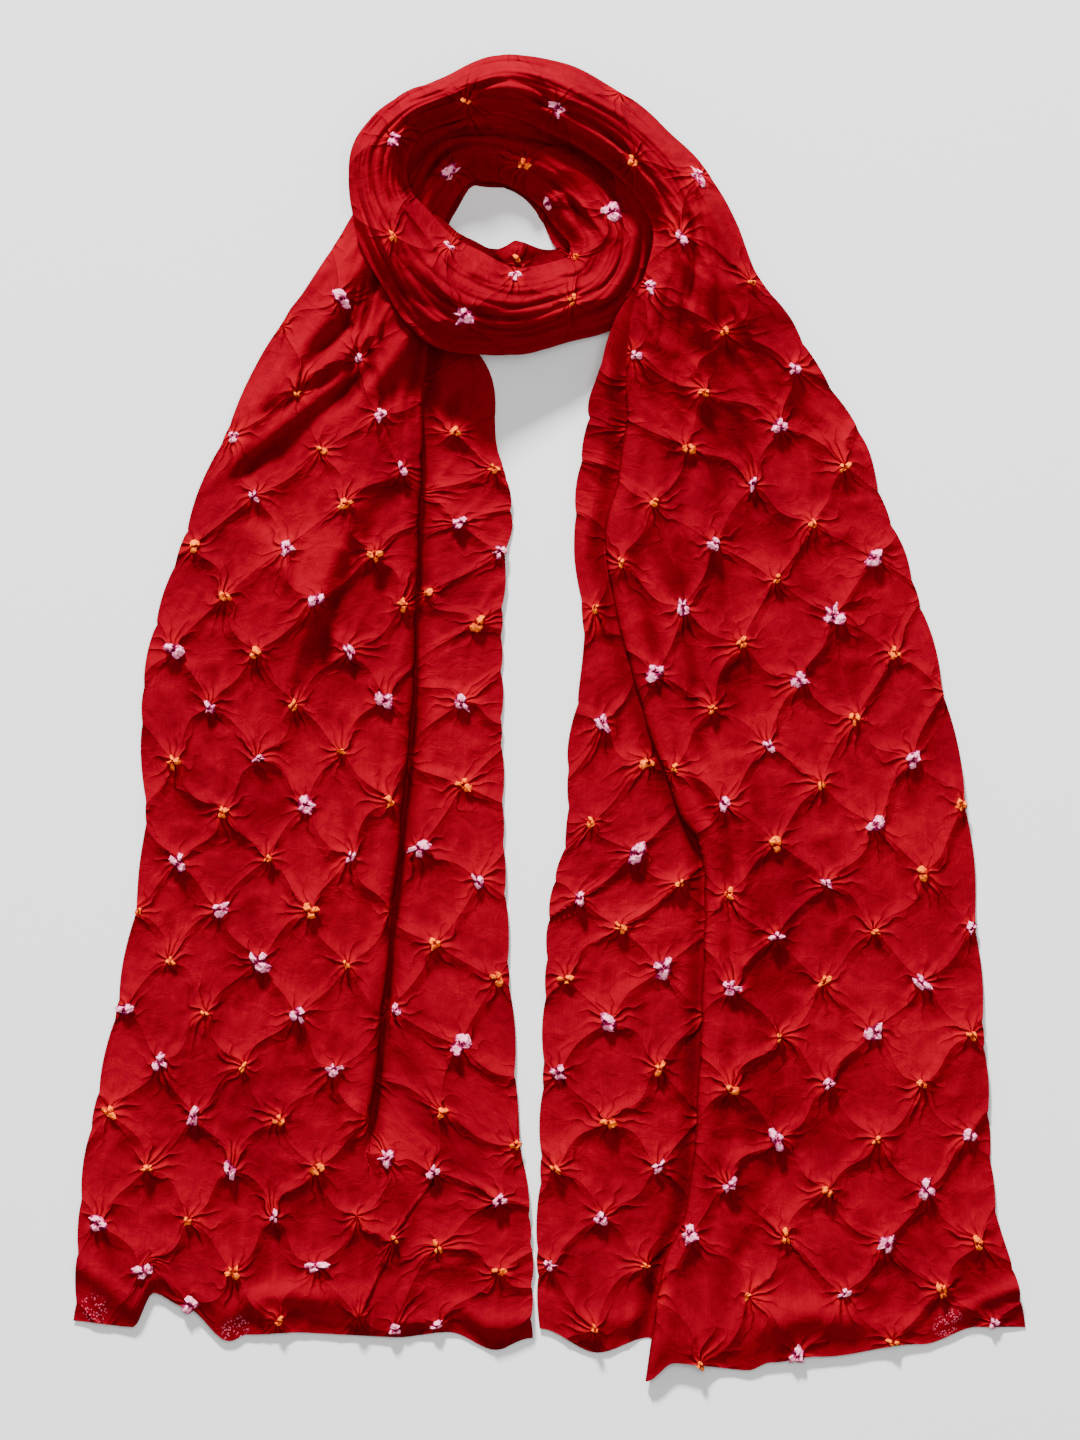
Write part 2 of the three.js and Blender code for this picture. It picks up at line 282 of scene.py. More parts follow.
def crests(i, j, seed):
    """Height, about 0 to 1, of the crests along the lines of whole i: k exp(-(d / w)^p), with
    d the distance to the line. The strength k differs from stretch to stretch, and is greatest
    near the tied points."""
    distance = np.abs(i - np.round(i))
    near_tie = 0.5 + 0.5 * np.cos(2 * np.pi * j)
    own = cloud(7.7 * np.round(i), j + 40.5, 1, seed)
    strength = np.clip(0.40 + 0.5 * own + 0.3 * near_tie, 0.05, 1)
    return strength * np.exp(-((distance / CREST_WIDTH) ** CREST_SHARPNESS))


def bent(i, j):
    """Lattice numbers with the lines between the tied points bent by chance, and the tied
    points themselves left where they are."""
    free = 1 - np.exp(-((away_from_tie(i, j) / 0.25) ** 2))
    return (i + BEND_OF_CREASES * free * cloud(i + 30, j + 30, 0.9, 21),
            j + BEND_OF_CREASES * free * cloud(i + 30, j + 30, 0.9, 22))


def drawn(i, j, lean):
    """Height of the cloth drawn up by the ties: the crests of both sets of lines, a peak at
    each tied point, and a gentle tilt of each cell's own. The first set of lines is stronger
    by the share lean, and the second weaker by as much."""
    i_bent, j_bent = bent(i, j)
    peak = np.exp(-((away_from_tie(i, j) / PEAK_REACH) ** 1.3))
    tilt = cloud(i + 20, j + 20, 0.8, 25) * smooth(away_from_tie(i, j) / 0.4)
    first, second = crests(i_bent, j_bent, 23), crests(j_bent, i_bent, 24)
    return (CREST_HEIGHT * ((1 + lean) * first + (1 - lean) * second)
            + PEAK_RISE * peak + CELL_TILT * tilt)


def spokes(i, j):
    """Short crests that run out from each tied point: a wave of the angle with sharp tops,
    dying out with the distance from the point."""
    near_i, near_j = np.round(i), np.round(j)
    turn = np.arctan2(j - near_j, i - near_i)
    away = away_from_tie(i, j)
    own_turn = 2 * np.pi * np.abs(np.sin(7.3 * near_i + 31.7 * near_j))
    wave = np.abs(np.sin(SPOKES * turn / 2 + own_turn + 2 * away))
    height = SPOKE_HEIGHT * (1 - wave ** 0.7) * np.exp(-((away / SPOKE_REACH) ** 2))
    return height * smooth(away / SPOKE_START)


# %% Loose folds, gathers and creases
def loose_folds(s, share, width):
    """Long soft folds from the table above: each a bell across, exp(-(distance / width)^2),
    with its own width on each flank, that swells and sinks along its run as sin^2."""
    total = np.zeros(s.shape)
    for start, end, from_share, to_share, height, left, right in LOOSE_FOLDS:
        t = np.clip((s - start) / (end - start), 0, 1)
        wander = 5 * cloud(s, np.full(s.shape, height * 40.0), 60, 11)
        away = (share - from_share - (to_share - from_share) * t) * width + wander
        flank = np.where(away < 0, left, right)
        total = total + height * np.sin(np.pi * t) ** 2 * np.exp(-((away / flank) ** 2))
    return total


def gathers(s, share):
    """Lengthwise valleys: each |sin| of the share of the layer's width, with its own slow turn
    along the cloth. The result is 0 on the ridges and negative in the valleys."""
    total = np.zeros(np.broadcast(s, share).shape)
    for count, depth, turn, phase in VALLEYS:
        wander = 0.15 * cloud(s, share * 160, 55, int(count)) * count
        wave = np.abs(np.sin(np.pi * (count * share + turn * s / LENGTH + phase + wander)))
        here = 0.65 + 0.5 * cloud(s, share * 90, 60, 50 + int(count))
        total = total - depth * here * (1 - wave ** 0.75)
    return total


def lumps(x, y, kind):
    """Smooth chance of a kind: its height times the cloud of its size and seed."""
    height, size, seed = kind
    return height * cloud(x, y, size, seed)


def creases(along, across, kind):
    """Lengthwise creases of a kind: height times 1 - |cloud|^0.6, which has a sharp top."""
    height, size, seed, stretch, shift = kind
    return height * (1 - np.abs(cloud(along / stretch, across + shift, size, seed)) ** 0.6)


def unevenness(along, across, tight):
    """Two heights: the slow rumples of the ends, and the fine creases, which are short in the
    ends and long and deep in the loop, where tight is 1."""
    rumple = lumps(along, across, SLOW_RUMPLE) + lumps(along, across, RUMPLE) + RUMPLE_LIFT
    in_loop = (lumps(along / LOOP_WAVE_STRETCH, across, LOOP_WAVE)
               + creases(along, across, LOOP_CREASES))
    fine = (lumps(along, across, GRAIN) + creases(along, across, END_CREASES) * (1 - tight)
            + tight * in_loop)
    return rumple * (1 - tight), fine


# %% [markdown]
# ## The sheet
#
# One row of the grid is a section: the top layer, the turn at the fold, the hidden layer, the
# turn back and the under layer. Each point gets its place u to the right of the cloth's
# middle and its height z. The distance across the cloth is the sum of the steps in u. The
# section is then carried along the route, square to it.

# %% Numbers for the sheet
TOP, TURN, HIDDEN, SHOWN = 74, 5, 4, 32   # strips in each stretch of the section
ROWS = 775                # strips along the cloth
BEND = 1.8                # how far the turn at the fold stands out, in mm as all below
RAMP = 20                 # the top layer climbs onto the pleat over this width at most
FADE = 12                 # the relief dies out over this width at the fold
FOLD_ROLL, ROLL_AT, ROLL_WIDTH = 6, 5, 8    # the pleat's fold stands up: height, place, width
EDGE_PULL, EDGE_REACH = 2.8, 24             # pull of the tied points on the edges
FOLD_PULL_WIDTH = 9
EDGE_SWAY = 3.5           # slow wander of the loop's edges
NEAR_LOOP = 60            # what differs at the edges in the loop changes over this reach
RECESS_WIDTH = 9          # the painted shade of the recess beside the pleat's fold, over this width
HOLLOWS = [(4, 5), (12, 22)]    # painted shade in hollows: grid points each way for the mean, and mm of full depth
PALE_EDGE = 24            # no hollow gets painted shade at the cloth's very edge
SETTLE, EDGE_SHARE = 16, 0.35   # towards a hem the relief sinks to this share, over this width
HEM_FOLD, HEM_FOLD_AT, HEM_FOLD_WIDTH = 7, 24, 8    # a low fold along each hem
END_LOOK, LOOP_LOOK = 62, 12    # how far ahead and behind the way the cloth runs is taken
HEM_REACH = 60            # the hem's drop reaches this far up the cloth
# Share of the flat width from the left edge, and how far the hem hangs past its last section
LEFT_HEM = [
    [0, 1], [0.13, 3], [0.17, -20], [0.24, -12], [0.34, 9], [0.38, 4], [0.5, 1],
    [0.7, 1], [0.82, -4], [0.92, 6], [1, -3],
]
RIGHT_HEM = [
    [0, -17], [0.08, -16], [0.18, -3], [0.36, 8], [0.44, 13], [0.48, 19], [0.61, 16],
    [0.655, 29], [0.7, 10], [0.81, 1], [0.9, 12], [1, -2],
]


# %% The section as a grid
def hem_drop(table, share):
    """How far the hem hangs past its last section, on a smooth step from mark to mark."""
    at, drop = np.array(table, float).T
    i = np.clip(np.searchsorted(at, share) - 1, 0, len(at) - 2)
    return drop[i] + (drop[i + 1] - drop[i]) * smooth((share - at[i]) / (at[i + 1] - at[i]))


def middle_line(s):
    """The sections at distances s, as arrays of u, z and distance across, one row each.
    Heights come from the two layers below, plus arch times 1 - (distance from middle / half
    width)^2. The hidden layer lies halfway between the floor and the top layer."""
    row = section_along(s)[:, None, :]
    outer, fold, under, lap, crown = (row[..., c] for c in (OUTER, FOLD, UNDER, LAP, CROWN))
    folded = folded_share(row)
    turned = 2 * folded - 1
    climb = np.clip((outer + fold - lap) * 0.8, 1, RAMP)
    half = (outer + fold) / 2

    def top_height(u):
        arch = crown * (1 - ((u - (fold - outer) / 2) / half) ** 2)
        on_pleat = 2 * LAYER_PITCH * folded * smooth((u - fold + lap + climb) / climb)
        return on_pleat + arch * np.where(u > fold, 0, 1)

    def stretch(start, end, count, first=0):
        return start + (end - start) * np.arange(first, count + 1) / count

    step = np.arange(1, TURN) / TURN
    bulge, slide = np.sin(np.pi * step), 2 * BEND * (1 - folded) * step
    u_top = stretch(-outer, fold - BEND, TOP)
    u_fold = fold - BEND + folded * BEND * bulge + slide
    u_lap = stretch(fold - BEND * turned, fold - lap + BEND * turned, HIDDEN)
    u_back = fold - lap + BEND * turned - folded * BEND * bulge + slide
    edge = np.maximum(under, fold - lap + 4 * BEND)
    shown_from = np.minimum(np.maximum(fold, fold - lap + BEND), edge - 2 * BEND)
    u_hidden = stretch(fold - lap + BEND, shown_from, HIDDEN)
    u_shown = stretch(shown_from, edge, SHOWN, first=1)
    z_top, z_lap = top_height(u_top), top_height(u_lap) / 2
    z_fold = z_top[:, -1:] + (z_lap[:, :1] - z_top[:, -1:]) * (1 - np.cos(np.pi * step)) / 2
    z_back = z_lap[:, -1:] * (1 + np.cos(np.pi * step)) / 2
    z_below = np.zeros((len(s), u_hidden.shape[1] + u_shown.shape[1]))
    u = np.concatenate([u_top, u_fold, u_lap, u_back, u_hidden, u_shown], axis=1)
    z = np.concatenate([z_top, z_fold, z_lap, z_back, z_below], axis=1)
    across = np.concatenate(
        [np.zeros((len(s), 1)), np.cumsum(np.abs(np.diff(u, axis=1)), axis=1)], axis=1)
    return u, z, across


# %% The relief on the grid
def hem_curl(from_hem, across, free):
    """A low fold along each hem. Its distance from the hem and its height change by chance."""
    flat = np.zeros(across.shape)
    curl_at = HEM_FOLD_AT * (1 + 0.5 * cloud(across, flat + 3, 45, 41))
    curl = HEM_FOLD * np.exp(-(((from_hem - curl_at) / HEM_FOLD_WIDTH) ** 2)) * free
    return curl * (1 + cloud(across, flat, 30, 42)) / 2


def relief(s, u, across):
    """Ties in the ends and gathers in the loop, dying out where layers lie on each other."""
    row = section_along(s)[:, None, :]
    fold, lap, outer, under = (row[..., c] for c in (FOLD, LAP, OUTER, UNDER))
    folded = folded_share(row)
    along = np.broadcast_to(s[:, None], u.shape)
    is_top = np.arange(u.shape[1]) <= TOP
    from_fold = np.where(is_top, fold - u, np.where(across > outer + fold + lap, u - fold, 0))
    free = np.maximum(smooth((from_fold - BEND) / FADE), 1 - folded)
    tight = bunching(along, TIES_REACH)
    loose = bunching(along, GATHER_REACH)
    share = (u + outer) / (outer + fold)
    shown_width = np.clip((under - fold) / NARROW_STRIP, 0, 1)
    deeper = 0.5 + 0.5 * tight
    valleys = ((gathers(along, share) + GATHER_LIFT) * loose * deeper
               * np.where(is_top, 1, 0.5 * shown_width))
    valleys = valleys + loose_folds(along, share, outer + fold) * is_top
    i, j = lattice(s[:, None], across)
    amount = (1 - 0.7 * tight) * np.where(is_top, 1, shown_width)
    lean = CREST_LEAN * (1 - 2 * smooth((along - LOOP_START) / (LOOP_END - LOOP_START)))
    ties = (drawn(i, j, lean) + spokes(i, j)) * amount
    rumple, fine = unevenness(along, across, tight)
    roll = FOLD_ROLL * folded * (1 - loose * tight) * np.exp(
        -(((from_fold - ROLL_AT) / ROLL_WIDTH) ** 2))
    height = (valleys + ties + rumple + fine) * free + roll * is_top
    from_hem = np.minimum(along, LENGTH - along)
    from_edge = np.minimum(across, across[:, -1:] - across)
    settled = smooth(from_hem / SETTLE) * (0.5 + 0.5 * smooth(from_edge / SETTLE))
    return (height * (EDGE_SHARE + (1 - EDGE_SHARE) * settled)
            + hem_curl(from_hem, across, free))


def mean_around(z, reach):
    """The mean of z over a square of grid points, this many each way, from running sums."""
    for axis in (0, 1):
        pad = [(0, 0), (0, 0)]
        pad[axis] = (reach + 1, reach)
        total = np.cumsum(np.pad(z, pad, mode="edge"), axis=axis)
        wide = 2 * reach + 1
        z = (np.take(total, np.arange(wide, total.shape[axis]), axis=axis)
             - np.take(total, np.arange(0, total.shape[axis] - wide), axis=axis)) / wide
    return z


def painted_shade_openness(s, u, across, bumps):
    """1 on open cloth, and less in hollows, where the relief lies below its mean around, and
    in the recess of the under layer beside the pleat's fold. The dye is darkened by it: painted
    shade in the hollows and the recess."""
    row = section_along(s)[:, None, :]
    from_edge = np.minimum(across, across[:, -1:] - across)
    hollow = sum((mean_around(bumps, reach) - bumps) / depth for reach, depth in HOLLOWS)
    hollow = np.clip(hollow, 0, 1) * smooth(from_edge / PALE_EDGE)
    folded = folded_share(row)
    is_under = np.arange(u.shape[1]) > u.shape[1] - 1 - SHOWN
    patchy = 0.55 + 0.4 * cloud(s, s * 0 + 9, 45, 31)[:, None]
    recess = is_under * folded * patchy * np.exp(-((u - row[..., FOLD]) / RECESS_WIDTH) ** 2)
    return (1 - hollow) * (1 - recess)


# %% From the grid to points in space
def pulled(s, u, across):
    """u with wavy edges: the tied points pull the two edges and the fold inwards, and the
    pillows push them out. The shift dies out within a finger's width of the edge."""
    row = section_along(s)[:, None, :]
    i, j = lattice(s[:, None], across)
    push = np.abs(np.sin(np.pi * i) * np.sin(np.pi * j)) ** 0.5 - 0.6
    at_left = smooth(1 - across / EDGE_REACH)
    at_right = smooth(1 - (across[:, -1:] - across) / EDGE_REACH)
    from_fold = across - row[..., OUTER] - row[..., FOLD]
    at_fold = np.exp(-((from_fold / FOLD_PULL_WIDTH) ** 2))
    tight = bunching(s, NEAR_LOOP)[:, None]
    push = push * (1 - 0.6 * tight)
    sway = EDGE_SWAY * tight * cloud(s[:, None], across, 34, 51)
    return (u + (push * EDGE_PULL + sway) * (at_right - at_left)
            + push * 0.6 * EDGE_PULL * at_fold)


def place(s, u, z, across):
    """Points in space: u to the right of the way the cloth runs, z above the floor, and the
    hem's drop along the way it runs."""
    row = section_along(s)[:, None, :]
    reach = LOOP_LOOK + (END_LOOK - LOOP_LOOK) * (1 - bunching(s, END_LOOK))
    run = (section_along(np.minimum(s + reach, LENGTH))
           - section_along(np.maximum(s - reach, 0)))[:, [X, Y]]
    run = (run / np.linalg.norm(run, axis=1)[:, None])[:, None, :]
    share = across / across[:, -1:]
    to_end, from_start = (LENGTH - s)[:, None], s[:, None]
    drop = (hem_drop(RIGHT_HEM, share) * smooth(1 - to_end / HEM_REACH)
            - hem_drop(LEFT_HEM, share) * smooth(1 - from_start / HEM_REACH))
    x = row[..., X] + run[..., 1] * u + run[..., 0] * drop - PLAN_CENTRE[0]
    y = row[..., Y] - run[..., 0] * u + run[..., 1] * drop - PLAN_CENTRE[1]
    height = np.maximum(row[..., LIFT] + z, 0) + HALF_THICKNESS
    return np.stack([x, y, height], axis=-1) * MM


# %% Grid to mesh
def put(name, data):
    """A new object with this data, in the scene."""
    made = bpy.data.objects.new(name, data)
    bpy.context.scene.collection.objects.link(made)
    return made


def add_uv(mesh, name, values, quads):
    """A UV layer of this mesh, from two numbers for each point."""
    layer = mesh.uv_layers.new(name=name)
    layer.data.foreach_set("uv", values.reshape(-1, 2)[quads.reshape(-1)].reshape(-1))


def grid_mesh(name, points, uvs, material):
    """A quad mesh on a grid of points, with UV layers given as (name, grid of two numbers)."""
    rows, wide = points.shape[:2]
    index = np.arange(rows * wide).reshape(rows, wide)
    quads = np.stack([index[:-1, :-1], index[:-1, 1:], index[1:, 1:], index[1:, :-1]], axis=-1)
    quads = quads.reshape(-1, 4)
    mesh = bpy.data.meshes.new(name)
    mesh.vertices.add(rows * wide)
    mesh.vertices.foreach_set("co", points.reshape(-1).astype(np.float32))
    mesh.loops.add(quads.size)
    mesh.loops.foreach_set("vertex_index", quads.reshape(-1).astype(np.int32))
    mesh.polygons.add(len(quads))
    mesh.polygons.foreach_set("loop_start", np.arange(0, quads.size, 4, dtype=np.int32))
    mesh.update(calc_edges=True)
    mesh.polygons.foreach_set("use_smooth", np.ones(len(quads), bool))
    for layer_name, values in uvs:
        add_uv(mesh, layer_name, values, quads)
    mesh.materials.append(material)
    return put(name, mesh)


# %% [markdown]
# ## Materials
#
# The dye is a deep madder red with slow changes of depth, a little brighter round each tied
# point. Painted shade darkens it in the hollows of the relief and in the recess beside the
# pleat's fold. Three small spots at the hems have undyed dots like lace. The bump has four
# scales: rays round each tied point, a line along each crest, crinkles, and the weave.

# %% Node helpers
def new_material(name):
    material = bpy.data.materials.new(name)
    material.use_nodes = True
    tree = material.node_tree
    shader = tree.nodes["Principled BSDF"]
    return material, tree, shader


def add(tree, kind, settings=(), **inputs):
    """A node of this kind with its settings and inputs. An input is a value or a socket."""
    node = tree.nodes.new(kind)
    for key, value in dict(settings).items():
        setattr(node, key, value)
    for key, value in inputs.items():
        socket = node.inputs[int(key[1:])] if key[1:].isdigit() else node.inputs[key]
        if isinstance(value, bpy.types.NodeSocket):
            tree.links.new(value, socket)
        else:
            socket.default_value = value
    return node


def maths(tree, operation, *values):
    """One Math node's result."""
    inputs = {f"_{n}": value for n, value in enumerate(values)}
    return add(tree, "ShaderNodeMath", {"operation": operation}, **inputs).outputs[0]


def noise(tree, place_on, scale, detail, **more):
    """One Noise node's result, 0 to 1."""
    return add(tree, "ShaderNodeTexNoise", Vector=place_on, Scale=scale, Detail=detail,
               **more).outputs["Fac"]


def bump(tree, height, strength, distance, **more):
    """One Bump node's normal, on top of another one if that is given as Normal."""
    return add(tree, "ShaderNodeBump", Strength=strength, Distance=distance, Height=height,
               **more).outputs[0]


def blend(tree, amount, first, second, kind="MIX"):
    """Two colours mixed by this amount. The node's sockets 6 and 7 are the colours."""
    return add(tree, "ShaderNodeMix", {"data_type": "RGBA", "blend_type": kind},
               _0=amount, _6=first, _7=second).outputs[2]


# %% Distances on the lattice and ramps
def near_whole(tree, uv):
    """For lattice numbers as a vector: the distances of both to the nearest whole numbers."""
    split = add(tree, "ShaderNodeSeparateXYZ", Vector=uv)
    return [maths(tree, "SUBTRACT", split.outputs[axis],
                  maths(tree, "ROUND", split.outputs[axis])) for axis in (0, 1)]


def ramp(tree, value, stops):
    """A colour ramp with stops given as (position, colour)."""
    node = add(tree, "ShaderNodeValToRGB", Fac=value)
    elements = node.color_ramp.elements
    while len(elements) < len(stops):
        elements.new(0.5)
    for element, (position, colour) in zip(elements, stops):
        element.position = position
        element.color = (*colour, 1)
    return node.outputs["Color"]


# %% The dye, with painted shade
# Where tiny undyed dots make a lace-like spot near a hem: distance across and along, in metres
LACE_SPOTS = [(0.013, 0.009, 0), (0.105, 0.005, 0), (0.049, LENGTH * MM - 0.010, 0)]


WHITE, BLACK = (1, 1, 1), (0, 0, 0)
SLUB_STRETCH = (900.0, 45.0, 1.0)       # slubs are twenty times as long as wide


def lace(tree, cloth_uv):
    """1 on the dots of the lace-like spots and 0 elsewhere."""
    from_spot = 1.0
    for spot in LACE_SPOTS:
        away = add(tree, "ShaderNodeVectorMath", {"operation": "DISTANCE"}, _0=cloth_uv, _1=spot)
        from_spot = maths(tree, "MINIMUM", away.outputs["Value"], from_spot)
    in_spot = ramp(tree, maths(tree, "MULTIPLY", from_spot, 50.0), [(0.35, WHITE), (0.5, BLACK)])
    dots = add(tree, "ShaderNodeTexVoronoi", Vector=cloth_uv, Scale=620.0).outputs["Distance"]
    return maths(tree, "MULTIPLY", ramp(tree, dots, [(0.22, WHITE), (0.38, BLACK)]), in_spot)


def dye_and_painted_shade(tree, cloth_uv, radius):
    """The red dye: uneven, streaked by slubs, brighter within a small radius of each tied point,
    and left out on the lace-like dots. Painted shade darkens it in the hollows and in the recess
    beside the pleat's fold."""
    depth = maths(tree, "ADD", maths(tree, "MULTIPLY", noise(tree, cloth_uv, 11.0, 4.0), 0.75),
                  maths(tree, "MULTIPLY", noise(tree, cloth_uv, 190.0, 3.0), 0.25))
    dye = ramp(tree, depth, [(0.3, (0.12, 0.0, 0.005)), (0.7, (0.255, 0.0, 0.008))])
    slub_uv = add(tree, "ShaderNodeVectorMath", {"operation": "MULTIPLY"}, _0=cloth_uv,
                  _1=SLUB_STRETCH).outputs[0]
    slubs = ramp(tree, noise(tree, slub_uv, 1.0, 2.0), [(0.35, (0.8, 0.8, 0.8)), (0.65, WHITE)])
    dye = blend(tree, 0.5, dye, slubs, "MULTIPLY")
    # Painted shade: the red is darkened in the hollows of the relief and in the recess beside the
    # pleat's fold. From here on dye holds this painted shade as well.
    is_open = add(tree, "ShaderNodeAttribute", {"attribute_name": "painted_shade_openness"}).outputs["Fac"]
    hollows = ramp(tree, is_open, [(0.2, (0.32, 0.32, 0.32)), (0.95, WHITE)])
    dye = blend(tree, 0.8, dye, hollows, "MULTIPLY")
    halo = ramp(tree, radius, [(0.06, WHITE), (0.2, BLACK)])
    dye = blend(tree, maths(tree, "MULTIPLY", halo, 0.5), dye, (0.42, 0.001, 0.008, 1))
    return blend(tree, lace(tree, cloth_uv), dye, (0.55, 0.09, 0.14, 1))


# %% The bump
def creased_normal(tree, cloth_uv, off_i, off_j, radius):
    """The bump, from fine to coarse: the weave, crinkles, a sharp line along each crest, which
    is 1 - (7 d)^0.6 with d the distance to it, stronger here and weaker there, and rays round
    each tied point, (1 - |sin|^0.5) (1 - 1.8 r)^1.5."""
    angle = maths(tree, "ARCTAN2", off_j, off_i)
    swing = maths(tree, "ADD", maths(tree, "MULTIPLY", angle, 4.0),
                  maths(tree, "MULTIPLY", noise(tree, cloth_uv, 40.0, 2.0), 9.0))
    wave = maths(tree, "POWER", maths(tree, "ABSOLUTE", maths(tree, "SINE", swing)), 0.5)
    far = maths(tree, "MINIMUM", maths(tree, "MULTIPLY", radius, 1.8), 1.0)
    fall = maths(tree, "POWER", maths(tree, "SUBTRACT", 1.0, far), 1.5)
    rays = maths(tree, "MULTIPLY", maths(tree, "SUBTRACT", 1.0, wave), fall)
    line = maths(tree, "MINIMUM", maths(tree, "ABSOLUTE", off_i), maths(tree, "ABSOLUTE", off_j))
    away = maths(tree, "MINIMUM", maths(tree, "MULTIPLY", line, 7.0), 1.0)
    flank = maths(tree, "POWER", away, 0.6)
    crest = maths(tree, "MULTIPLY", maths(tree, "SUBTRACT", 1.0, flank),
                  noise(tree, cloth_uv, 16.0, 1.0))
    crinkle = noise(tree, cloth_uv, 75.0, 4.0, Roughness=0.58, Distortion=0.9)
    normal = bump(tree, noise(tree, cloth_uv, 1500.0, 2.0), 0.25, 0.0004)
    normal = bump(tree, crinkle, 0.5, 0.0024, Normal=normal)
    normal = bump(tree, crest, 0.8, 0.004, Normal=normal)
    return bump(tree, rays, 0.8, 0.004, Normal=normal)


# %% The dyed cotton, with painted shade
def cotton():
    """The dyed cotton with painted shade in its hollows, from the UV layers "cloth", in metres,
    and "lattice".
    """
    material, tree, shader = new_material("dyed_cotton")
    cloth_uv = add(tree, "ShaderNodeUVMap", {"uv_map": "cloth"}).outputs[0]
    tie_uv = add(tree, "ShaderNodeUVMap", {"uv_map": "lattice"}).outputs[0]
    off_i, off_j = near_whole(tree, tie_uv)
    radius = maths(tree, "SQRT", maths(tree, "ADD", maths(tree, "MULTIPLY", off_i, off_i),
                                       maths(tree, "MULTIPLY", off_j, off_j)))
    tree.links.new(dye_and_painted_shade(tree, cloth_uv, radius), shader.inputs["Base Color"])
    tree.links.new(creased_normal(tree, cloth_uv, off_i, off_j, radius), shader.inputs["Normal"])
    shader.inputs["Roughness"].default_value = 0.9
    shader.inputs["Specular IOR Level"].default_value = 0.01
    return material


red_cotton = cotton()

# %% Make the cloth
along = np.linspace(0, LENGTH, ROWS + 1)
u, z, across = middle_line(along)
bumps = relief(along, u, across)
z = z + bumps
points = place(along, pulled(along, u, across), z, across)
grid_s = np.broadcast_to(along[:, None], u.shape)
tie_i, tie_j = lattice(along[:, None], across)
lattice_uv = np.stack(bent(tie_i, tie_j), axis=-1)
cloth_uv = np.stack([across, grid_s], axis=-1) * MM
cloth = grid_mesh("scarf_cloth", points, [("cloth", cloth_uv), ("lattice", lattice_uv)],
                  red_cotton)
# The painted shade of the hollows and of the recess beside the pleat's fold, kept on the points
# for the dye.
shade = cloth.data.attributes.new("painted_shade_openness", "FLOAT", "POINT")
shade.data.foreach_set("value", painted_shade_openness(along, u, across, bumps).reshape(-1).astype(np.float32))
print("cloth quads:", len(cloth.data.polygons))

# %% [markdown]
# ## The tied points
#
# Each tied pinch is a small crumpled peak, white to pink or orange, where the thread kept the
# dye out. A peak is a low cap on a polar grid whose rim wanders in and out. All peaks of one
# colour are one mesh.

# %% Find the tied points that show
TIE_MARGIN, LOOP_MARGIN = 2, 5    # mm kept clear at the edges, and how much more in the loop
TOP_MARGIN, UNDER_MARGIN = 5, 6   # mm kept clear at the fold, on the top and the under layer
ON_POINT = 0.12                   # a grid point this near, in lattice cells, can be a tied point
RAY_START, RAY_REACH = 4, 60      # mm above the cloth where anything over a point is looked for


def tie_places():
    """Distance along, distance across and colour of each tied point, from the lattice: the
    grid points nearest to whole numbers (i, j), one for each pair."""
    i, j = tie_i, tie_j
    off = away_from_tie(i, j)
    row = section_along(along)[:, None, :]
    column = np.arange(u.shape[1])
    margin = TIE_MARGIN + LOOP_MARGIN * bunching(along, NEAR_LOOP)[:, None]
    on_top = (column <= TOP) & (u > -row[..., OUTER] + margin) & (u < row[..., FOLD] - TOP_MARGIN)
    on_under = ((column > u.shape[1] - 1 - SHOWN) & (u > row[..., FOLD] + UNDER_MARGIN)
                & (u < row[..., UNDER] - margin))
    whole = np.stack([np.round(i), np.round(j)], axis=-1).astype(int)
    shown = (on_top | on_under) & (off < ON_POINT)
    rows, columns = np.nonzero(shown)
    order = np.argsort(off[rows, columns])
    rows, columns = rows[order], columns[order]
    _, first = np.unique(whole[rows, columns], axis=0, return_index=True)
    rows, columns = rows[first], columns[first]
    i0, j0 = whole[rows, columns].T
    pale = np.where(along[rows] < (LOOP_START + LOOP_END) / 2, i0 % 2 == 0, j0 % 2 == 0)
    return rows, columns, pale


tie_rows, tie_columns, tie_pale = tie_places()
tree_of_cloth = BVHTree.FromObject(cloth, bpy.context.evaluated_depsgraph_get())
normals = np.empty(len(cloth.data.vertices) * 3, np.float32)
cloth.data.vertices.foreach_get("normal", normals)
normals = normals.reshape(*points.shape)
keep = []
for r, c in zip(tie_rows, tie_columns):
    start = Vector(points[r, c]) + Vector((0, 0, RAY_START * MM))
    keep.append(tree_of_cloth.ray_cast(start, Vector((0, 0, 1)), RAY_REACH * MM)[0] is None)
keep = np.array(keep)
tie_rows, tie_columns, tie_pale = tie_rows[keep], tie_columns[keep], tie_pale[keep]
print("tied points that show:", len(tie_rows), "of which pale", int(tie_pale.sum()))

# %% Make the peaks
AROUND, RINGS = 12, 4
PEAK_HEIGHT = 4.8
PALE_WIDEST, ORANGE_WIDEST = 7.6, 5.4   # how far a cap reaches, in mm, before chance


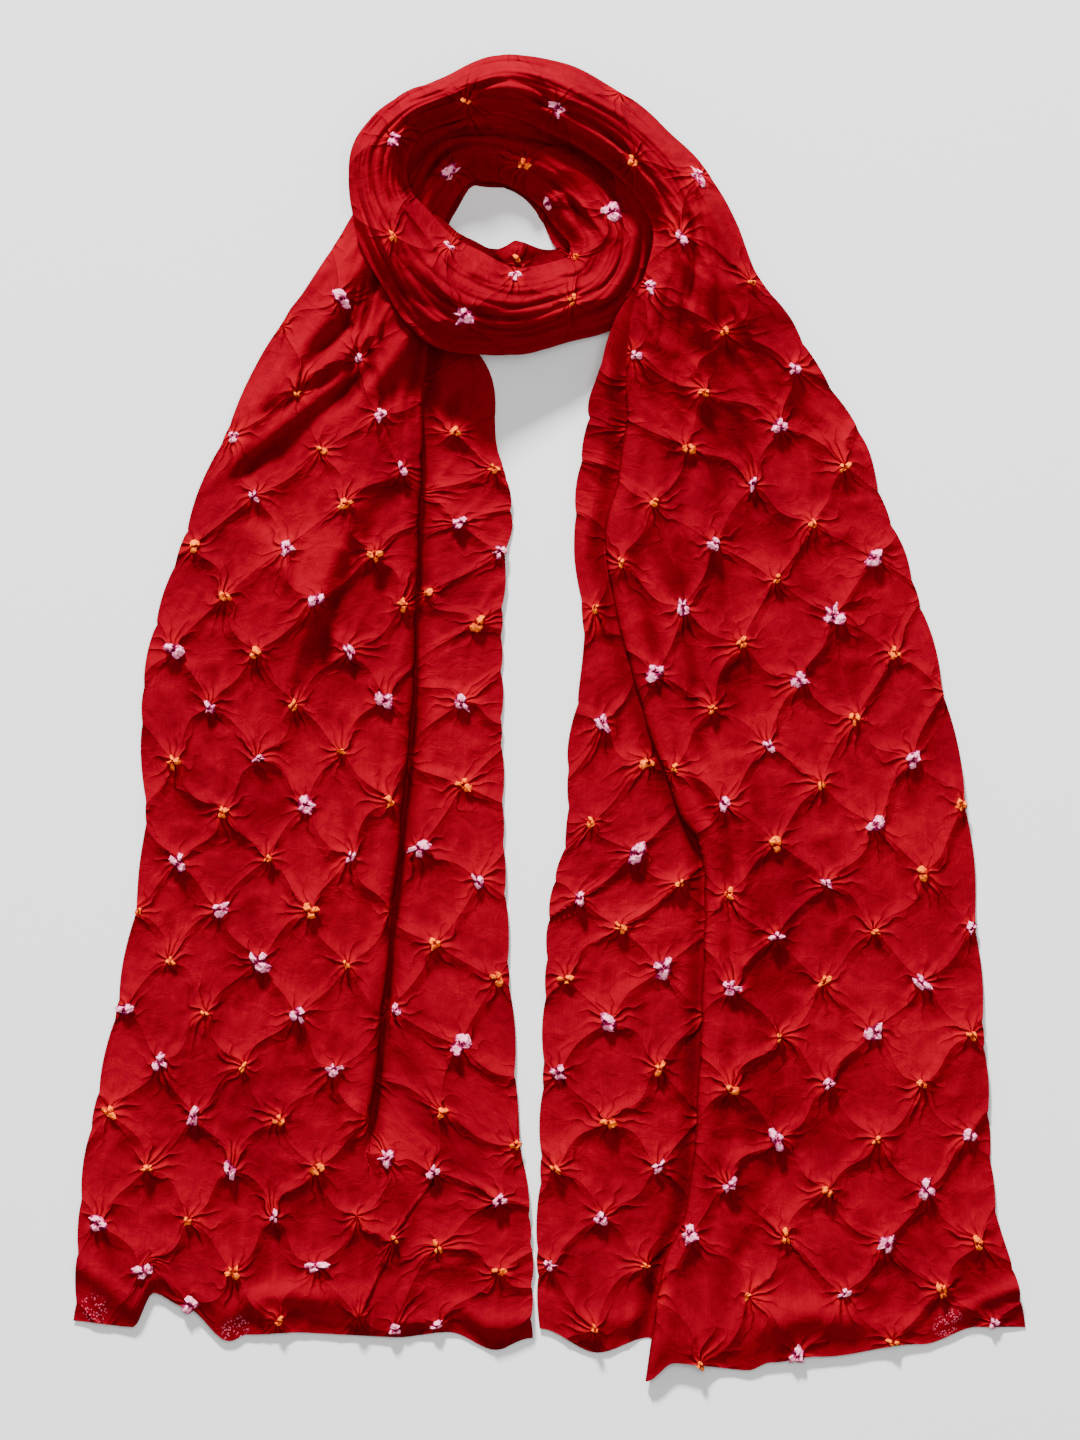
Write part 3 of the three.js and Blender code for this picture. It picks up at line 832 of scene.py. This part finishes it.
def peaks(name, rows, columns, widest, material):
    """Crumpled caps with two to four petals: with w = |cos(m angle)|^0.8, the rim is at radius
    0.45 + 0.55 w and the height is (1 - r^1.5) (0.4 + 0.6 w), less a dimple at the middle. Each
    point is then moved a little by chance, and each cap is squeezed and turned by chance. The
    UV holds r and w, so that the dye can follow the petals."""
    n = len(rows)
    shape = (n, RINGS, AROUND + 1)

    def each(low, high):
        return chance.uniform(low, high, n)[:, None, None]

    def crumple(size):
        moved = chance.uniform(-size, size, shape)
        moved[..., -1] = moved[..., 0]
        return moved

    ring = np.linspace(0.02, 1, RINGS)[:, None]
    turn = np.arange(AROUND + 1)[None, :] * 2 * np.pi / AROUND
    size, squeeze, spin = widest * each(0.65, 1.2), each(0.5, 0.95), each(0, 2 * np.pi)
    petals = chance.choice([1.0, 1.5, 1.5, 2.0], n)[:, None, None]
    lobe = turn + 0.4 * np.sin(turn + each(0, 6.3))
    petal = np.abs(np.cos(petals * lobe + each(0, 6.3))) ** 0.8
    petal[..., -1] = petal[..., 0]
    reach = size * (ring * (0.45 + 0.55 * petal) + crumple(0.13))
    x0, y0 = reach * np.cos(turn), squeeze * reach * np.sin(turn)
    x = x0 * np.cos(spin) - y0 * np.sin(spin)
    y = x0 * np.sin(spin) + y0 * np.cos(spin)
    height = PEAK_HEIGHT * each(0.75, 1.1) * (
        (1 - ring**1.5) * (0.4 + 0.6 * petal) + crumple(0.2)
        - 0.5 * np.exp(-((ring / 0.35) ** 2))) - 0.6
    base, up = points[rows, columns], normals[rows, columns]
    side = np.cross(up, [0.0, 1.0, 0.0])
    side /= np.linalg.norm(side, axis=1)[:, None]
    front = np.cross(up, side)
    axes = [v[:, None, None, :] for v in (base, side, front, up)]
    spot = axes[0] + MM * (axes[1] * x[..., None] + axes[2] * y[..., None]
                           + axes[3] * height[..., None])
    uv = np.stack([np.broadcast_to(ring, shape), np.broadcast_to(petal, shape)], axis=-1)
    index = np.arange(n * RINGS * (AROUND + 1)).reshape(shape)
    quads = np.stack([index[:, :-1, :-1], index[:, 1:, :-1], index[:, 1:, 1:], index[:, :-1, 1:]],
                     axis=-1).reshape(-1, 4)
    mesh = bpy.data.meshes.new(name)
    mesh.from_pydata(spot.reshape(-1, 3), [], quads.tolist())
    add_uv(mesh, "petal", uv, quads)
    mesh.materials.append(material)
    return put(name, mesh)


def tie_material(name, light, middle, dark):
    """Undyed on the petals at 0.6 of their reach, and dark between them and towards the middle
    and the rim, broken up by some grain. The dark there is partly the dye and partly painted
    shade in the crevices of the crumpled cap."""
    material, tree, shader = new_material(name)
    place_on = add(tree, "ShaderNodeTexCoord").outputs["Object"]
    grain = noise(tree, place_on, 520.0, 2.0)
    petal_uv = add(tree, "ShaderNodeUVMap", {"uv_map": "petal"}).outputs[0]
    split = add(tree, "ShaderNodeSeparateXYZ", Vector=petal_uv)
    from_rim = maths(tree, "ABSOLUTE", maths(tree, "SUBTRACT", split.outputs[0], 0.6))
    tint = maths(tree, "ADD", maths(tree, "MULTIPLY", split.outputs[1], 0.45),
                 maths(tree, "MULTIPLY", grain, 0.8))
    tint = maths(tree, "SUBTRACT", tint, maths(tree, "MULTIPLY", from_rim, 0.7))
    # The middle and dark stops, between the petals and at the cap's middle and rim, are partly
    # painted shade of its crevices.
    colour = ramp(tree, tint, [(0.42, dark), (0.53, middle), (0.69, light)])
    tree.links.new(colour, shader.inputs["Base Color"])
    tree.links.new(bump(tree, grain, 0.6, 0.001), shader.inputs["Normal"])
    shader.inputs["Roughness"].default_value = 0.9
    shader.inputs["Specular IOR Level"].default_value = 0.1
    return material


pale_ties = peaks(
    "tied_points_pale", tie_rows[tie_pale], tie_columns[tie_pale], PALE_WIDEST,
    tie_material("tied_pale", (1.0, 0.36, 0.50), (0.50, 0.01, 0.13), (0.10, 0.0, 0.02)))
orange_ties = peaks(
    "tied_points_orange", tie_rows[~tie_pale], tie_columns[~tie_pale], ORANGE_WIDEST,
    tie_material("tied_orange", (1.0, 0.18, 0.0), (0.60, 0.02, 0.0), (0.14, 0.0, 0.0)))

# %% [markdown]
# ## Joining the frame
#
# The cloth stands for the solid of the same shape. The tied points ride with it.

for piece in (cloth, pale_ties, orange_ties):
    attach(piece, "root")
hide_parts("bandhani_cloth")

# %% [markdown]
# ## Floor, light and camera
#
# A plain pale floor, a soft light from beyond the loop and slightly from the left, as in a
# studio, a low fill above the cloth and an even glow all round. The camera looks straight down
# from far enough away that nothing leans much.

# %% Floor
floor_material, _, floor_shader = new_material("pale_floor")
floor_shader.inputs["Base Color"].default_value = (0.9, 0.9, 0.9, 1)
floor_shader.inputs["Roughness"].default_value = 0.9
bpy.ops.mesh.primitive_plane_add(size=12)
floor = bpy.context.object
floor.name = "floor"
floor.data.materials.append(floor_material)

# %% Lights
def soft_light(name, place_at, target, size, power):
    """A square light of this size in metres, turned towards its target."""
    data = bpy.data.lights.new(name, "AREA")
    data.shape, data.size, data.energy = "SQUARE", size, power
    light = put(name, data)
    light.location = place_at
    light.rotation_euler = (Vector(target) - Vector(place_at)).to_track_quat("-Z", "Y").to_euler()


soft_light("key", (-1.4, 6.8, 3.7), (0, 0, 0), 0.9, 2150)
soft_light("fill", (0.2, 0.3, 2.6), (0, 0, 0), 1.4, 38)
world = bpy.data.worlds.new("studio")
world.use_nodes = True
world.node_tree.nodes["Background"].inputs["Color"].default_value = (1, 1, 1, 1)
world.node_tree.nodes["Background"].inputs["Strength"].default_value = 0.38
bpy.context.scene.world = world

# %% Camera
VIEW_HEIGHT = 0.936                     # metres of floor from the picture's top to its bottom
VIEW_MIDDLE = np.array([-7.15, 1.95])   # the picture's middle, in the table's x and y
DISTANCE = 4.0                          # metres above the floor
LENS_SENSOR = 36.0                      # mm
camera_data = bpy.data.cameras.new("camera")
camera_data.sensor_width = LENS_SENSOR
camera_data.lens = LENS_SENSOR * DISTANCE / VIEW_HEIGHT
camera = put("camera", camera_data)
camera.location = (*((VIEW_MIDDLE - PLAN_CENTRE) * MM), DISTANCE)
bpy.context.scene.camera = camera
